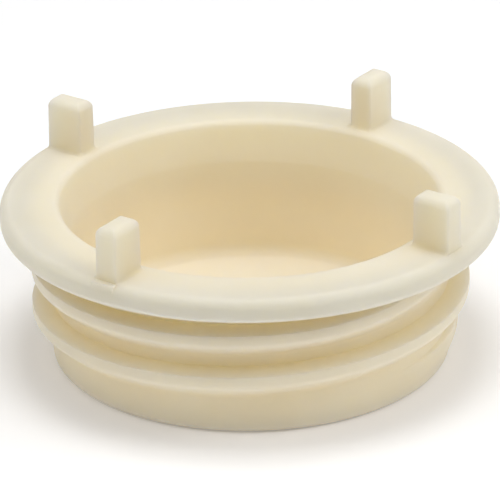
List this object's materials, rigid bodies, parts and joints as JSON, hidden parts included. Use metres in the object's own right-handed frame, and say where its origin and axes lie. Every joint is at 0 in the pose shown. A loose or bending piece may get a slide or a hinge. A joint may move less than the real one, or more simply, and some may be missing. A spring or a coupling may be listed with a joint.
{
  "type": "flanged screw plug",
  "caption": "Round flanged screw-in plug: closed cup with a coarse sawtooth thread, upright drive lugs on the flange and a sealing ring beneath it.",
  "frame": {"origin": "on the screw axis in the plane of the closed base, so the plug stands on it", "axes": "+Z along the screw axis from the closed base to the open, flanged end; +X is 55 degrees clockwise, seen from above, from the first drive lug"},
  "size_m": [0.068, 0.068, 0.0297],
  "materials": {
    "natural_plastic": "undyed moulded plastic, ivory, soft satin, slightly translucent",
    "seal_rubber": "matt black elastomer"
  },
  "bodies": {
    "root": {"plug_body": "natural_plastic", "seal_ring": "seal_rubber"}
  },
  "joints": []
}
